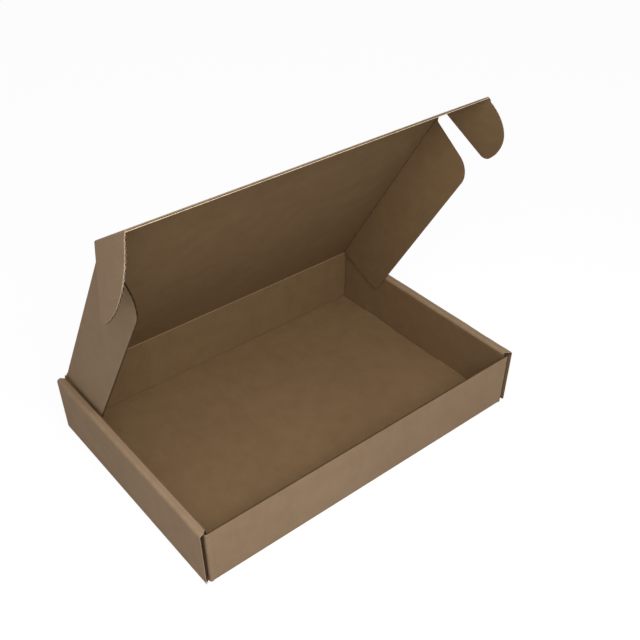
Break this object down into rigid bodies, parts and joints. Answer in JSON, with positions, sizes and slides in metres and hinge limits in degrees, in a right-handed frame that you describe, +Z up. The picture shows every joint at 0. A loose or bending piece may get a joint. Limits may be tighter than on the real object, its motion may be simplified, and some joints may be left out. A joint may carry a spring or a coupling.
{
  "type": "corrugated mailer box",
  "caption": "Die-cut corrugated mailer box with rolled side walls, and a hinged lid with side flaps and an eared tuck flap.",
  "frame": {"origin": "middle of the tray's underside", "axes": "+X along the length to the right as seen from the front, +Y from the front wall to the hinged back wall, +Z up"},
  "size_m": [0.3357, 0.2, 0.2522],
  "materials": {
    "kraft_board": "uncoated brown kraft liner, matt, with fluted cut edges"
  },
  "bodies": {
    "tray": {"tray": "kraft_board"},
    "lid": {"lid": "kraft_board"},
    "left_side_flap": {"left_side_flap": "kraft_board"},
    "right_side_flap": {"right_side_flap": "kraft_board"},
    "tuck_flap": {"tuck_flap": "kraft_board"},
    "left_ear": {"left_ear": "kraft_board"},
    "right_ear": {"right_ear": "kraft_board"}
  },
  "joints": [
    {"name": "lid_hinge", "type": "hinge", "parent": "tray", "child": "lid", "pos_m": [0, 0.09925, 0.0515], "axis": [-1, 0, 0], "range_deg": [-59.2, 120.8]},
    {"name": "tuck_fold", "type": "hinge", "parent": "lid", "child": "tuck_flap", "pos_m": [0, -0.00434, 0.22381], "axis": [-1, 0, 0], "range_deg": [-63.5, 26.5]},
    {"name": "left_ear_fold", "type": "hinge", "parent": "tuck_flap", "child": "left_ear", "pos_m": [-0.14775, -0.00712, 0.22559], "axis": [-0.0213, 0.8413, -0.5401], "range_deg": [-18.4, 71.6]},
    {"name": "right_ear_fold", "type": "hinge", "parent": "tuck_flap", "child": "right_ear", "pos_m": [0.14775, -0.00712, 0.22559], "axis": [-0.0213, -0.8413, 0.5401], "range_deg": [-27, 63]},
    {"name": "left_side_fold", "type": "hinge", "parent": "lid", "child": "left_side_flap", "pos_m": [-0.1415, 0.04713, 0.13746], "axis": [0, -0.512, 0.859], "range_deg": [0, 85]},
    {"name": "right_side_fold", "type": "hinge", "parent": "lid", "child": "right_side_flap", "pos_m": [0.1415, 0.04713, 0.13746], "axis": [0, 0.512, -0.859], "range_deg": [0, 85]}
  ]
}
